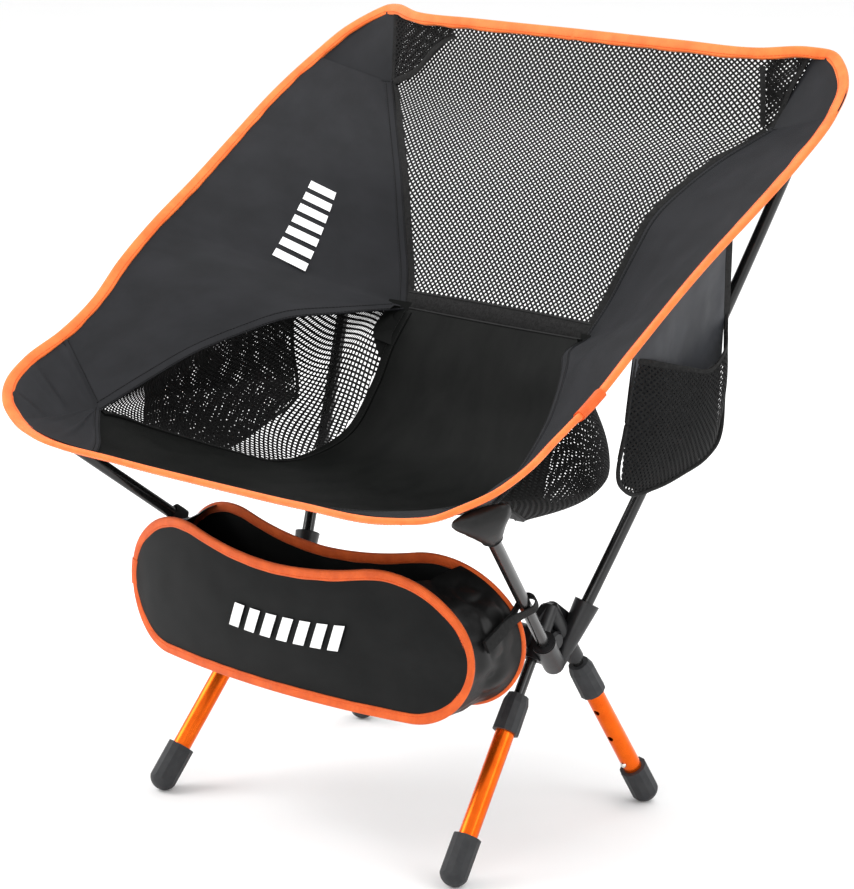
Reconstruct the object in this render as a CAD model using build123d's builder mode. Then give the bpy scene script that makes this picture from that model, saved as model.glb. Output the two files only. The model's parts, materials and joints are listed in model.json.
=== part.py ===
from build123d import *
import os

os.makedirs("parts", exist_ok=True)

# Ultralight backpacking chair. Millimetres, +Z up, +Y towards the backrest, +X to the sitter's
# left. The origin is on the ground, in the middle of the chair's own box.

# ---- driving dimensions ----
foot_ball_radius = 12.8      # domed foot, with a small flat worn where it meets the ground
foot_height = 12.3           # centre of the dome above the ground
foot_radius = 12.4           # over the corners of the facets
facets = 12
leg_pole_radius = 4.75
leg_pole_wall = 0.8
leg_tube_radius = 8.3
leg_tube_wall = 0.9
collar_radius = 11.8
collar_length = 34.0
guide_length = 6.0           # top of the collar, where it guides the thinner leg pole
tube_length = 159.0
foot_start = 129.5           # from the collar's top to the foot's rim
hole_pitch = 32.5            # three height positions
lowest_hole = 118.9          # from the collar's top
button_radius = 2.6
button_proud = 2.3
button_root = 1.2            # inner end of the button, from the leg pole's axis
running_gap = 0.05
seat_pole_radius = 5.5
seat_pole_wall = 1.0
socket_radius = 9.6
cone_root_radius = 6.4       # rear pole socket, at the hub
cone_mouth_radius = 11.5
cap_radius = 8.6
web_thickness = 7.0
leg_socket_radius = 7.6
cord_radius = 1.25
crossbar_reach = 158.0       # half length of the crossbar
fabric = 1.2
binding_radius = 3.2
bag_half_width = 199.0
bag_sweep_radius = 721.0     # plan curve of the bag's front
bag_front = -175.0
bag_back = -110.0

# ---- where the pole and leg axes run, sitter's left side ----
pole_apex = Vector(153.1, 14.7, 148.5)
leg_apex = Vector(151.0, 9.1, 201.5)
front_pole_way = Vector(0.3425, -0.7055, 0.6205).normalized()
rear_pole_way = Vector(0.1915, 0.455, 0.8695).normalized()
front_foot = Vector(172.4, -139.5, foot_height)
rear_foot = Vector(169.3, 121.9, foot_height)
front_pole_end = 322.0       # from the apex, along the pole
rear_pole_tip = Vector(254.5, 249.5, 640.0)
pole_seat = 38.0             # socket floors, from the apex
rear_pole_seat = 40.0
front_socket_start = 7.0
front_socket_end = 60.0
rear_socket_end = 62.0
leg_seat = 22.0
crossbar_centre = Vector(0, 6.6, 175.0)


def finish(name, builder):
    builder.part.label = name
    export_step(builder.part, f"parts/{name}.step")


def finish_pair(name, left):
    """The sitter's left piece as built, and its mirror image on the right."""
    finish(f"{name}_left", left)
    with BuildPart() as right:
        mirror(left.part, about=Plane.YZ)
    finish(f"{name}_right", right)


def finish_group(name, left):
    """Both sides' pieces as separate solids of one node."""
    with BuildPart() as both:
        add(left.part)
        mirror(left.part, about=Plane.YZ)
    finish(name, both)


def axis_plane(origin, way, distance):
    return Plane(origin=origin + way * distance, z_dir=way)


def straight_tube(origin, way, start, end, outer, inner=0):
    with BuildPart() as tube:
        with BuildSketch(axis_plane(origin, way, start)):
            Circle(outer)
            if inner:
                Circle(inner, mode=Mode.SUBTRACT)
        extrude(amount=end - start)
    return tube


def bent_tube(path, outer, inner=0):
    with BuildPart() as tube:
        with BuildLine():
            add(path)
        with BuildSketch(Plane(origin=path @ 0, z_dir=path % 0)):
            Circle(outer)
            if inner:
                Circle(inner, mode=Mode.SUBTRACT)
        sweep()
    return tube


# ---- rear pole centre line: one gentle arc that leaves the hub along rear_pole_way ----
rear_start = pole_apex + rear_pole_way * rear_pole_seat
rear_line = TangentArc([rear_start, rear_pole_tip], tangent=rear_pole_way)


def rear_stretch(start, end):
    """Part of the rear pole's arc, from and to fractions of its length."""
    return ThreePointArc(rear_line @ start, rear_line @ ((start + end) / 2), rear_line @ end)


# ---- legs: one dictionary for each corner ----
def make_leg(name, foot, socket_end, collar_start, facing):
    way = (foot - leg_apex).normalized()
    side = facing - way * facing.dot(way)
    return {
        "name": name,
        "foot": foot,
        "way": way,
        "button_way": side.normalized(),
        "socket_end": socket_end,
        "collar_start": collar_start,
        "button_at": collar_start + lowest_hole,
    }


legs = [
    make_leg("front", front_foot, 47.5, 81.0, Vector(0, 1, 0)),
    make_leg("rear", rear_foot, 58.0, 65.0, Vector(0, -1, 0)),
]


def leg_plane(leg, distance):
    return Plane(
        origin=leg_apex + leg["way"] * distance, x_dir=leg["button_way"], z_dir=leg["way"]
    )


def side_plane(leg, distance):
    """Through the leg's axis: x towards the button, y down the leg."""
    return Plane(
        origin=leg_apex + leg["way"] * distance,
        x_dir=leg["button_way"],
        z_dir=leg["button_way"].cross(leg["way"]),
    )


def button_plane(leg, distance, depth):
    origin = leg_apex + leg["way"] * distance + leg["button_way"] * depth
    return Plane(origin=origin, x_dir=leg["way"], z_dir=leg["button_way"])


# ---- hubs ----
with BuildPart() as hub:
    # front pole socket, a barrel with a lip
    with BuildSketch(axis_plane(pole_apex, front_pole_way, front_socket_start)):
        Circle(socket_radius)
    extrude(amount=front_socket_end - front_socket_start)
    with BuildSketch(axis_plane(pole_apex, front_pole_way, front_socket_end - 6)):
        Circle(socket_radius + 0.9)
    extrude(amount=4.5)
    # rear pole socket, a long cone
    with BuildSketch(axis_plane(pole_apex, rear_pole_way, -2)):
        Circle(cone_root_radius)
    with BuildSketch(axis_plane(pole_apex, rear_pole_way, rear_socket_end)):
        Circle(cone_mouth_radius)
    loft()
    for leg in legs:
        with BuildSketch(leg_plane(leg, -2)):
            Circle(leg_socket_radius)
        extrude(amount=leg["socket_end"] + 2)
    # web that ties the sockets together
    with BuildSketch(Plane.YZ.offset(146)):
        with BuildLine():
            Polyline(
                (14.7, 146), (-8, 158), (-24, 176), (-16, 192), (3, 206),
                (16, 206), (32, 194), (40, 180), (30, 160), close=True,
            )
        make_face()
    extrude(amount=web_thickness)
    # crossbar socket, closed by a bevelled cap
    with BuildSketch(Plane.YZ.offset(120)):
        with Locations((crossbar_centre.Y, crossbar_centre.Z)):
            Circle(cap_radius)
    extrude(amount=crossbar_reach + 2 - 120)
    with BuildSketch(Plane.YZ.offset(crossbar_reach + 2)):
        with Locations((crossbar_centre.Y, crossbar_centre.Z)):
            Circle(cap_radius)
    extrude(amount=2.5, taper=40)
    # bores
    for way, start, end in (
        (front_pole_way, pole_seat, front_socket_end),
        (rear_pole_way, rear_pole_seat, rear_socket_end),
    ):
        with BuildSketch(axis_plane(pole_apex, way, start)):
            Circle(seat_pole_radius + running_gap)
        extrude(amount=end - start + 15, mode=Mode.SUBTRACT)
    for leg in legs:
        with BuildSketch(leg_plane(leg, leg_seat)):
            Circle(leg_pole_radius + running_gap)
        extrude(amount=leg["socket_end"] - leg_seat + 10, mode=Mode.SUBTRACT)
    with BuildSketch(Plane.YZ.offset(110)):
        with Locations((crossbar_centre.Y, crossbar_centre.Z)):
            Circle(seat_pole_radius + running_gap)
    extrude(amount=crossbar_reach - 110 + 0.3, mode=Mode.SUBTRACT)
finish_pair("hub", hub)

# ---- crossbar and its elastic cord ----
crossbar_start = Vector(-crossbar_reach, crossbar_centre.Y, crossbar_centre.Z)
seat_pole_bore = seat_pole_radius - seat_pole_wall
finish(
    "crossbar",
    straight_tube(
        crossbar_start, Vector(1, 0, 0), 0, 2 * crossbar_reach, seat_pole_radius, seat_pole_bore
    ),
)
finish(
    "crossbar_shock_cord",
    straight_tube(crossbar_start, Vector(1, 0, 0), 1, 2 * crossbar_reach - 1, cord_radius),
)

# ---- front seat poles ----
finish_pair(
    "front_pole",
    straight_tube(
        pole_apex, front_pole_way, pole_seat + 0.3, front_pole_end,
        seat_pole_radius, seat_pole_bore,
    ),
)

# ---- rear seat poles, two sections each, with a ferrule inside the joint ----
rear_joint = 0.52            # fraction of the arc
ferrule_reach = 0.045
pole_end = 0.993
finish_pair(
    "rear_pole_lower",
    bent_tube(rear_stretch(0.002, rear_joint), seat_pole_radius, seat_pole_bore),
)
finish_pair(
    "rear_pole_upper",
    bent_tube(rear_stretch(rear_joint + 0.001, pole_end), seat_pole_radius, seat_pole_bore),
)
finish_group(
    "rear_pole_ferrules",
    bent_tube(
        rear_stretch(rear_joint - ferrule_reach, rear_joint + ferrule_reach),
        seat_pole_bore - running_gap,
        seat_pole_bore - 1,
    ),
)

# ---- domed plugs in the ends of the four seat poles ----
tip_radius = 6.4
tip_stem = 12.0
rear_tip_way = rear_line % pole_end
tip_places = [
    (pole_apex + front_pole_way * front_pole_end, front_pole_way),
    (rear_line @ pole_end, rear_tip_way),
]
with BuildPart() as tips:
    for place, way in tip_places:
        with BuildSketch(axis_plane(place, way, -tip_stem)):
            Circle(seat_pole_bore - running_gap)
        extrude(amount=tip_stem + 0.4)
        with BuildSketch(axis_plane(place, way, 0.3)):
            Circle(tip_radius)
        extrude(amount=3)
        with Locations(axis_plane(place, way, 3.3).location):
            Sphere(tip_radius)
        with BuildSketch(axis_plane(place, way, 0.3)):
            Circle(tip_radius + 2)
            Circle(seat_pole_bore - running_gap, mode=Mode.SUBTRACT)
        extrude(amount=-tip_stem, mode=Mode.SUBTRACT)
finish_group("pole_tips", tips)

# ---- elastic cords inside the seat poles ----
with BuildPart() as pole_cords:
    with BuildSketch(axis_plane(pole_apex, front_pole_way, pole_seat + 1)):
        Circle(cord_radius)
    extrude(amount=front_pole_end - tip_stem - pole_seat - 2)
    with BuildLine():
        add(rear_stretch(0.004, 0.968))
    with BuildSketch(Plane(origin=rear_line @ 0.004, z_dir=rear_line % 0.004)):
        Circle(cord_radius)
    sweep()
finish_group("seat_pole_shock_cords", pole_cords)

# ---- elastic cords inside the legs ----
with BuildPart() as leg_cords:
    for leg in legs:
        with BuildSketch(leg_plane(leg, leg_seat + 0.5)):
            Circle(cord_radius)
        extrude(amount=leg["button_at"] - 26 - leg_seat)
finish_group("leg_shock_cords", leg_cords)

# ---- legs ----
for leg in legs:
    pole_end_at = leg["button_at"] + 8
    collar_at = leg["collar_start"]

    with BuildPart() as leg_pole:
        with BuildSketch(leg_plane(leg, leg_seat + 0.3)):
            Circle(leg_pole_radius)
            Circle(leg_pole_radius - leg_pole_wall, mode=Mode.SUBTRACT)
        extrude(amount=pole_end_at - leg_seat)
        with BuildSketch(button_plane(leg, leg["button_at"], 0)):
            Circle(button_radius + 0.1)
        extrude(amount=leg_pole_radius + 2, mode=Mode.SUBTRACT)
    finish_pair(f"{leg['name']}_leg_pole", leg_pole)

    with BuildPart() as bush:
        with BuildSketch(leg_plane(leg, leg["button_at"] - 9)):
            Circle(leg_tube_radius - leg_tube_wall - running_gap)
            Circle(leg_pole_radius + running_gap, mode=Mode.SUBTRACT)
        extrude(amount=16)
        with BuildSketch(button_plane(leg, leg["button_at"], 0)):
            Circle(button_radius + 0.1)
        extrude(amount=leg_tube_radius + 2, mode=Mode.SUBTRACT)
    finish_pair(f"{leg['name']}_leg_bush", bush)

    with BuildPart() as leg_tube:
        with BuildSketch(leg_plane(leg, collar_at + guide_length)):
            Circle(leg_tube_radius)
            Circle(leg_tube_radius - leg_tube_wall, mode=Mode.SUBTRACT)
        extrude(amount=tube_length)
        for step in range(3):
            with BuildSketch(button_plane(leg, leg["button_at"] - step * hole_pitch, 0)):
                Circle(button_radius + 0.2)
            extrude(amount=leg_tube_radius + 2, mode=Mode.SUBTRACT)
    finish_pair(f"{leg['name']}_leg_tube", leg_tube)

    with BuildPart() as collar:
        with BuildSketch(leg_plane(leg, collar_at)):
            RegularPolygon(collar_radius - 2.6, facets)
        with BuildSketch(leg_plane(leg, collar_at + 7)):
            RegularPolygon(collar_radius - 0.4, facets)
        loft(ruled=True)
        with BuildSketch(leg_plane(leg, collar_at + 7)):
            RegularPolygon(collar_radius - 0.4, facets)
        with BuildSketch(leg_plane(leg, collar_at + collar_length)):
            RegularPolygon(collar_radius, facets)
        loft(ruled=True)
        with BuildSketch(leg_plane(leg, collar_at - 1)):
            Circle(leg_pole_radius + running_gap)
        extrude(amount=guide_length + 2, mode=Mode.SUBTRACT)
        with BuildSketch(leg_plane(leg, collar_at + guide_length)):
            Circle(leg_tube_radius + running_gap)
        extrude(amount=collar_length, mode=Mode.SUBTRACT)
    finish_pair(f"{leg['name']}_leg_collar", collar)

    foot_centre_at = (leg["foot"] - leg_apex).length
    with BuildPart() as foot:
        with BuildSketch(leg_plane(leg, collar_at + foot_start)):
            RegularPolygon(foot_radius, facets)
        extrude(amount=foot_centre_at - collar_at - foot_start + foot_ball_radius)
        # one turned outline domes the lower end
        with BuildSketch(side_plane(leg, 0)):
            with BuildLine():
                side_line = Line(
                    (0, collar_at + foot_start - 1), (foot_ball_radius, collar_at + foot_start - 1)
                )
                wall_line = Line(side_line @ 1, (foot_ball_radius, foot_centre_at))
                dome_arc = JernArc(
                    start=wall_line @ 1, tangent=(0, 1), radius=foot_ball_radius, arc_size=90
                )
                Line(dome_arc @ 1, side_line @ 0)
            make_face()
        revolve(axis=Axis(leg_apex, leg["way"]), mode=Mode.INTERSECT)
        with BuildSketch(leg_plane(leg, collar_at + foot_start - 1)):
            Circle(leg_tube_radius + running_gap)
        extrude(amount=guide_length + tube_length - foot_start + 1.2, mode=Mode.SUBTRACT)
        with Locations((leg["foot"].X, leg["foot"].Y, -30)):
            Box(80, 80, 60, mode=Mode.SUBTRACT)
    finish_pair(f"{leg['name']}_foot", foot)

    with BuildPart() as button:
        with BuildSketch(button_plane(leg, leg["button_at"], button_root)):
            Circle(button_radius)
        extrude(amount=leg_tube_radius + button_proud - button_root)
        fillet(button.faces().sort_by(Axis(leg_apex, leg["button_way"]))[-1].edges(), 1.6)
    finish_pair(f"{leg['name']}_snap_button", button)

    # bent leaf that pushes the button outwards, inside the leg pole
    with BuildPart() as leaf:
        with BuildSketch(side_plane(leg, leg["button_at"])):
            with BuildLine():
                Polyline((0.75, 3), (0.75, -2), (-1.6, -16), (-2.6, -16.6), (-3.15, -15.5), (-3.2, 4))
            trace(line_width=0.45)
        extrude(amount=1.3, both=True)
    finish_pair(f"{leg['name']}_button_spring", leaf)

# ---- sling: rails, sitter's left half, from the backrest's top to the front edge ----
outline = [
    (200, 229, 660.5), (240, 253, 663.2), (274, 247, 652), (292, 214, 627),
    (299.3, 148, 588), (297, 75, 545), (292, 0, 502), (289.5, -68, 457),
    (284, -120, 421), (283, -165, 398), (284.5, -196, 384.5), (272, -223, 370),
    (245, -242, 355), (200, -256, 346), (100, -251, 340.5),
]
outline_radii = [40, 30, 30, 60, 160, 200, 300, 300, 200, 60, 22, 30, 50, 120, 300]


def strip_skin(stations):
    """A thin skin of ruled strips, from each station's inner point to its outer point."""
    with BuildPart() as skin:
        for number, (inner, outer) in enumerate(stations):
            before = stations[max(number - 1, 0)]
            after = stations[min(number + 1, len(stations) - 1)]
            along = Vector(*after[0]) + Vector(*after[1]) - Vector(*before[0]) - Vector(*before[1])
            a = Vector(*inner)
            b = Vector(*outer)
            across = b - a
            if inner[0] == 0:
                # on the middle plane both halves have to meet edge to edge
                along = Vector(0, along.Y, along.Z)
                across = Vector(1, 0, 0)
            lift = across.cross(along).normalized() * fabric
            section = Plane(origin=a, x_dir=b - a, z_dir=(b - a).cross(lift))
            corners = [section.to_local_coords(c) for c in (a, b, b + lift, a + lift)]
            with BuildSketch(section):
                with BuildLine():
                    Polyline(*[(c.X, c.Y) for c in corners], close=True)
                make_face()
        loft(ruled=True)
    return skin


def finish_whole(name, half):
    """A panel that crosses the middle, from its left half."""
    with BuildPart() as whole:
        add(half.part)
        mirror(half.part, about=Plane.YZ)
    finish(name, whole)


seat_stations = [
    ((0, -241, 333), (236, -236, 347)),
    ((0, -200, 318), (232, -200, 344.5)),
    ((0, -150, 304), (221, -150, 339)),
    ((0, -112, 296), (206, -113, 322)),
    ((0, -60, 287), (174, -58, 298)),
    ((0, -15, 284), (146, -23, 285)),
    ((0, 20, 289), (137, 7, 284.5)),
    ((0, 50, 304), (117.5, 40, 302)),
    ((0, 78, 342), (108, 70, 345)),
    ((0, 94, 378), (105, 88, 380)),
    ((0, 110, 405), (101, 106, 406)),
]
finish_whole("seat_panel", strip_skin(seat_stations))

back_stations = [
    ((0, 113.5, 410), (100, 113, 412)),
    ((0, 131, 450), (115, 128, 443)),
    ((0, 150, 494), (131, 143, 492)),
    ((0, 165, 530), (147, 158, 526)),
    ((0, 180, 562), (180, 188, 566)),
    ((0, 201, 605), (212, 219, 596)),
    ((0, 224, 655), (212, 227, 655)),
]
finish_whole("back_mesh", strip_skin(back_stations))

wing_stations = [
    ((214, 214, 588), (291, 178, 603)),
    ((184.5, 186, 565), (293, 140, 580)),
    ((149, 152, 520), (291, 92, 551)),
    ((129, 135, 470), (289, 45, 524)),
    ((108, 112, 415), (286, 0, 496)),
    ((133, 53, 416), (284.5, -35, 474)),
    ((162, 12, 414), (283, -68, 452)),
    ((184, -23, 403), (280, -98, 433)),
    ((203, -60, 389), (277.5, -124, 415)),
    ((219, -106, 368), (276.5, -140, 406)),
    ((230, -148, 351), (276.5, -150, 401)),
]
finish_pair("wing", strip_skin(wing_stations))

front_patch_stations = [
    ((235, -152, 349.5), (277, -156, 398)),
    ((237, -168, 346), (277, -185, 388)),
    ((238, -190, 347.5), (273, -207, 376)),
    ((240, -215, 349), (262, -224, 366)),
    ((242, -230, 350.5), (249, -233, 357)),
]
finish_group("front_corner_patches", strip_skin(front_patch_stations))

rear_patch_stations = [
    ((217, 218, 594), (290, 186, 608)),
    ((217, 221, 612), (286, 206, 626)),
    ((217, 224, 632), (277, 228, 640)),
    ((217, 227, 648), (264, 240, 650)),
    ((218, 228.5, 654), (240, 243, 655)),
]
finish_group("rear_corner_patches", strip_skin(rear_patch_stations))

# mesh cheeks between wing and seat, as (lower seam, fullest point, upper seam)
cheek_stations = [
    ((104, 99, 398), (110, 99, 406), (109, 106, 413)),
    ((109.5, 75, 357), (122, 72, 385), (117, 80, 407)),
    ((123, 40, 305), (163, 52, 352), (132, 50, 413)),
    ((144, 7, 286), (200, 14, 345), (161, 12, 410)),
    ((153, -23, 287), (222, -18, 338), (184, -24, 399)),
    ((180, -58, 300), (238, -54, 338), (203, -61, 385)),
    ((210, -112, 325), (236, -106, 341), (218, -107, 364)),
    ((223, -141, 338), (229, -140, 342), (225, -141, 347)),
]
# the cheek's section, as (fraction of the span, fraction of the fullness)
cheek_curve = [(0, 0), (0.18, 0.72), (0.5, 1), (0.82, 0.72), (1, 0)]
with BuildPart() as side_mesh:
    for low, full, high in cheek_stations:
        a = Vector(*low)
        b = Vector(*high)
        m = Vector(*full)
        section = Plane(origin=a, x_dir=b - a, z_dir=(b - a).cross(m - a))
        span = (b - a).length
        bulge = section.to_local_coords(m).Y
        outside = [(span * u, bulge * v) for u, v in cheek_curve]
        inside = [(x, y - fabric) for x, y in reversed(outside)]
        with BuildSketch(section):
            with BuildLine():
                Polyline(*outside, *inside, close=True)
            make_face()
    loft(ruled=True)
finish_pair("side_mesh", side_mesh)

# ---- sleeves behind the corners that the pole tips sit in ----
sleeve_mouth = -30.0         # from the pole's end
sleeve_bottom = 11.0
sleeve_radius = 11.0
sleeve_profile = [
    (sleeve_radius - fabric, sleeve_mouth), (sleeve_radius, sleeve_mouth), (9.6, 6),
    (5, sleeve_bottom + fabric), (0, sleeve_bottom + fabric), (0, sleeve_bottom),
    (4.4, sleeve_bottom), (9.6 - fabric, 5.5),
]
for name, (place, way) in zip(("front_pole_pockets", "rear_pole_pockets"), tip_places):
    across = Vector(1, 0, 0) - way * way.X
    with BuildPart() as sleeve:
        with BuildSketch(Plane(origin=place, x_dir=across, z_dir=across.cross(way))):
            with BuildLine():
                Polyline(*sleeve_profile, close=True)
            make_face()
        revolve(axis=Axis(place, way))
    finish_group(name, sleeve)

# ---- edge binding, all round the sling ----
loop = outline + [(-x, y, z) for x, y, z in reversed(outline)]
loop_radii = outline_radii + outline_radii[::-1]
binding_line = FilletPolyline(*loop, radius=loop_radii, close=True)
finish("edge_binding", bent_tube(binding_line, binding_radius))

# ---- pockets that hang under the wings ----
def hanging_pocket(inner_x, depth, pouch, backing):
    """A pouch open at its slanted mouth, on a backing that reaches up to the wing."""
    with BuildPart() as pocket:
        with BuildSketch(Plane.YZ.offset(inner_x)):
            with BuildLine():
                Polyline(*pouch, close=True)
            make_face()
        extrude(amount=depth)
        mouth = pocket.faces().sort_by(Axis.Z)[-1]
        offset(amount=-fabric, openings=mouth)
        with BuildSketch(Plane.YZ.offset(inner_x)):
            with BuildLine():
                Polyline(*backing, close=True)
            make_face()
        extrude(amount=fabric)
    return pocket


phone_pocket = hanging_pocket(
    281.0,
    15.0,
    [(-62, 442), (-64, 352), (-40, 337), (20, 343), (60, 356), (60, 426)],
    [(-62, 430), (58, 420), (54, 510), (-58, 441.5)],
)
finish("phone_pocket_left", phone_pocket)

mesh_pocket = hanging_pocket(
    258.0,
    14.0,
    [(-66, 395), (-66, 300), (-40, 282), (28, 268), (127, 299), (127, 432)],
    [(-66, 385), (127, 420), (110, 528), (30, 480), (-60, 424)],
)
with BuildPart() as right_pocket:
    mirror(mesh_pocket.part, about=Plane.YZ)
finish("mesh_pocket_right", right_pocket)

# ---- carry bag, hung under the seat's front edge ----
bag_floor = 141.0
bag_dip = 254.5              # lowest point of the outline's top, in the middle
bag_end_radius = 58.0
bag_shoulder_radius = 90.0
bag_tape = 6.5               # width of the bag's binding
bag_depth_reach = 130.0      # how far the outline is extruded before it is cut to its curve
bag_mouth = 140.0            # half width of the opening along the top

with BuildSketch(Plane.XZ.offset(60)) as bag_shape:
    with BuildLine():
        floor_line = Line((0, bag_floor), (bag_half_width - bag_end_radius, bag_floor))
        end_arc = JernArc(floor_line @ 1, (1, 0), bag_end_radius, 130)
        shoulder_arc = JernArc(end_arc @ 1, end_arc % 1, bag_shoulder_radius, 63)
        TangentArc(shoulder_arc @ 1, (0, bag_dip), tangent=shoulder_arc % 1)
        mirror(about=Plane.YZ)
    make_face()


def bag_sheet(sketch, front, back):
    """A flat outline carried onto the bag's curve, between two distances along its axis."""
    with BuildPart() as sheet:
        extrude(sketch, amount=bag_depth_reach, dir=(0, -1, 0))
        with BuildSketch(Plane.XY.offset(bag_floor - 20)):
            with Locations((0, front + bag_sweep_radius)):
                Circle(bag_sweep_radius)
        extrude(amount=170, mode=Mode.INTERSECT)
        with BuildSketch(Plane.XY.offset(bag_floor - 20)):
            with Locations((0, back + bag_sweep_radius)):
                Circle(bag_sweep_radius)
        extrude(amount=170, mode=Mode.SUBTRACT)
    return sheet


def bag_outline(inset, width):
    """The bag's outline drawn in by inset, as a face or as a band of the given width."""
    with BuildSketch(Plane.XZ.offset(60)) as shape:
        add(offset(bag_shape.sketch_local, -inset, mode=Mode.PRIVATE))
        if width:
            add(offset(bag_shape.sketch_local, -inset - width, mode=Mode.PRIVATE), mode=Mode.SUBTRACT)
    return shape.sketch


panel_outline = bag_outline(bag_tape + 0.5, 0)
finish("bag_front_panel", bag_sheet(panel_outline, bag_front, bag_front + fabric))
finish("bag_back_panel", bag_sheet(panel_outline, bag_back - fabric, bag_back))

tape_outline = bag_outline(0, bag_tape)
with BuildPart() as bag_bindings:
    for middle in (bag_front, bag_back):
        add(bag_sheet(tape_outline, middle - 1.2, middle + 2.4).part)
finish("bag_bindings", bag_bindings)

gusset = bag_sheet(bag_outline(2, fabric), bag_front + 2.8, bag_back - 1.6)
with BuildPart() as open_gusset:
    add(gusset.part)
    with Locations((0, -130, bag_floor + 150)):
        Box(2 * bag_mouth, 160, 100, mode=Mode.SUBTRACT)
finish("bag_gusset", open_gusset)

# ---- webbing loops that hang the bag on the front poles ----
loop_at = 141.0              # along the front pole
loop_radius = seat_pole_radius + 0.8
webbing = 1.4
webbing_width = 13.0
with BuildPart() as strap:
    with BuildSketch(axis_plane(pole_apex, front_pole_way, loop_at - webbing_width / 2)):
        Circle(loop_radius + webbing)
    extrude(amount=webbing_width)
    with BuildSketch(Plane.YZ.offset(bag_half_width + 0.8)):
        with BuildLine():
            Polyline((-86, 242), (-86, 229), (-130, 209), (-130, 222), close=True)
        make_face()
    extrude(amount=webbing)
    with BuildSketch(axis_plane(pole_apex, front_pole_way, loop_at - webbing_width)):
        Circle(loop_radius)
    extrude(amount=2 * webbing_width, mode=Mode.SUBTRACT)
finish_group("bag_hanging_straps", strap)
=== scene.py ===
import bpy
import json
import math
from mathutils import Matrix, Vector, noise


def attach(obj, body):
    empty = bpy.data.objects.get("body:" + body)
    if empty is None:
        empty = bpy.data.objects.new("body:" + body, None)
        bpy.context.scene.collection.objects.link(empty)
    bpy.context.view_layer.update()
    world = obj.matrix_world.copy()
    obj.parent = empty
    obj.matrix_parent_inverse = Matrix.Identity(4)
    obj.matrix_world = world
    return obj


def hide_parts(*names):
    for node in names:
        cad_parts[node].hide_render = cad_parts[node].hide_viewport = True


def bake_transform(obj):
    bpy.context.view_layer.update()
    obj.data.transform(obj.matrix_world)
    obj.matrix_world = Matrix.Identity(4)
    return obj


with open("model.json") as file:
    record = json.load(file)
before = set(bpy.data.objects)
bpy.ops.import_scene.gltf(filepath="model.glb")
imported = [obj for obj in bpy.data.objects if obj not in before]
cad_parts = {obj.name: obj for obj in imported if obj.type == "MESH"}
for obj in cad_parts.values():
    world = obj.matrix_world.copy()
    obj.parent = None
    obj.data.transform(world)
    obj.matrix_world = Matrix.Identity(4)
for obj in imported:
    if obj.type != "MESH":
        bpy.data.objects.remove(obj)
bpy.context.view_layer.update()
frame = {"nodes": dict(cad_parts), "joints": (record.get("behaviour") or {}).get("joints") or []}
bpy.ops.object.select_all(action="DESELECT")
scene = bpy.context.scene
print("frame loaded")

mm = 0.001      # shapes are laid out in millimetres and written in metres

# camera, light and floor
camera = {
    "place": (1.7931, -2.0262, 1.0234),
    "azimuth": 41.198,
    "elevation": 14.519,
    "lens": 129.57,
}
bpy.ops.object.camera_add(
    location=camera["place"],
    rotation=(math.radians(90 - camera["elevation"]), 0, math.radians(camera["azimuth"])),
)
scene.camera = bpy.context.object
scene.camera.data.lens = camera["lens"]
scene.camera.data.clip_end = 20

lights = [
    {"place": (-2.6, -1.6, 2.6), "size": 2.4, "power": 90},   # from the sitter's right
    {"place": (2.9, 0.4, 1.9), "size": 1.8, "power": 30},      # from the sitter's left
    {"place": (0.3, 0.4, 3.4), "size": 2.6, "power": 50},      # overhead
    {"place": (1.2, -3.2, 1.0), "size": 1.6, "power": 22},     # low, from the front
]
for one in lights:
    bpy.ops.object.light_add(type="AREA", location=one["place"])
    lamp = bpy.context.object
    lamp.data.size = one["size"]
    lamp.data.energy = one["power"]
    aim = Vector((0, 0, 0.35)) - Vector(one["place"])
    lamp.rotation_euler = aim.to_track_quat("-Z", "Y").to_euler()

world = bpy.data.worlds.new("studio")
scene.world = world
world.use_nodes = True
world.node_tree.nodes["Background"].inputs["Color"].default_value = (1, 1, 1, 1)
world.node_tree.nodes["Background"].inputs["Strength"].default_value = 1.0
scene.view_settings.view_transform = "Standard"


# materials
def newMaterial(name, colour, roughness, metallic=0.0, sheen=0.0, gloss=0.5):
    material = bpy.data.materials.new(name)
    material.use_nodes = True
    shader = material.node_tree.nodes["Principled BSDF"]
    shader.inputs["Base Color"].default_value = (*colour, 1)
    shader.inputs["Roughness"].default_value = roughness
    shader.inputs["Metallic"].default_value = metallic
    shader.inputs["Specular IOR Level"].default_value = gloss
    shader.inputs["Sheen Weight"].default_value = sheen
    shader.inputs["Sheen Roughness"].default_value = 0.4
    return material


def addNode(material, kind, **values):
    node = material.node_tree.nodes.new(kind)
    for key, value in values.items():
        if key in node.inputs:
            node.inputs[key].default_value = value
        else:
            setattr(node, key, value)
    return node


def join(material, source, output, target, socket):
    material.node_tree.links.new(source.outputs[output], target.inputs[socket])


# colour that drifts softly between two tones
def mottle(material, dark, light, scale, coords="Object"):
    where = addNode(material, "ShaderNodeTexCoord")
    grain = addNode(material, "ShaderNodeTexNoise", Scale=scale, Detail=4.0, Roughness=0.6)
    ramp = addNode(material, "ShaderNodeValToRGB")
    ramp.color_ramp.elements[0].position = 0.35
    ramp.color_ramp.elements[0].color = (*dark, 1)
    ramp.color_ramp.elements[1].position = 0.65
    ramp.color_ramp.elements[1].color = (*light, 1)
    join(material, where, coords, grain, "Vector")
    join(material, grain, "Fac", ramp, "Fac")
    join(material, ramp, "Color", material.node_tree.nodes["Principled BSDF"], "Base Color")


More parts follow.
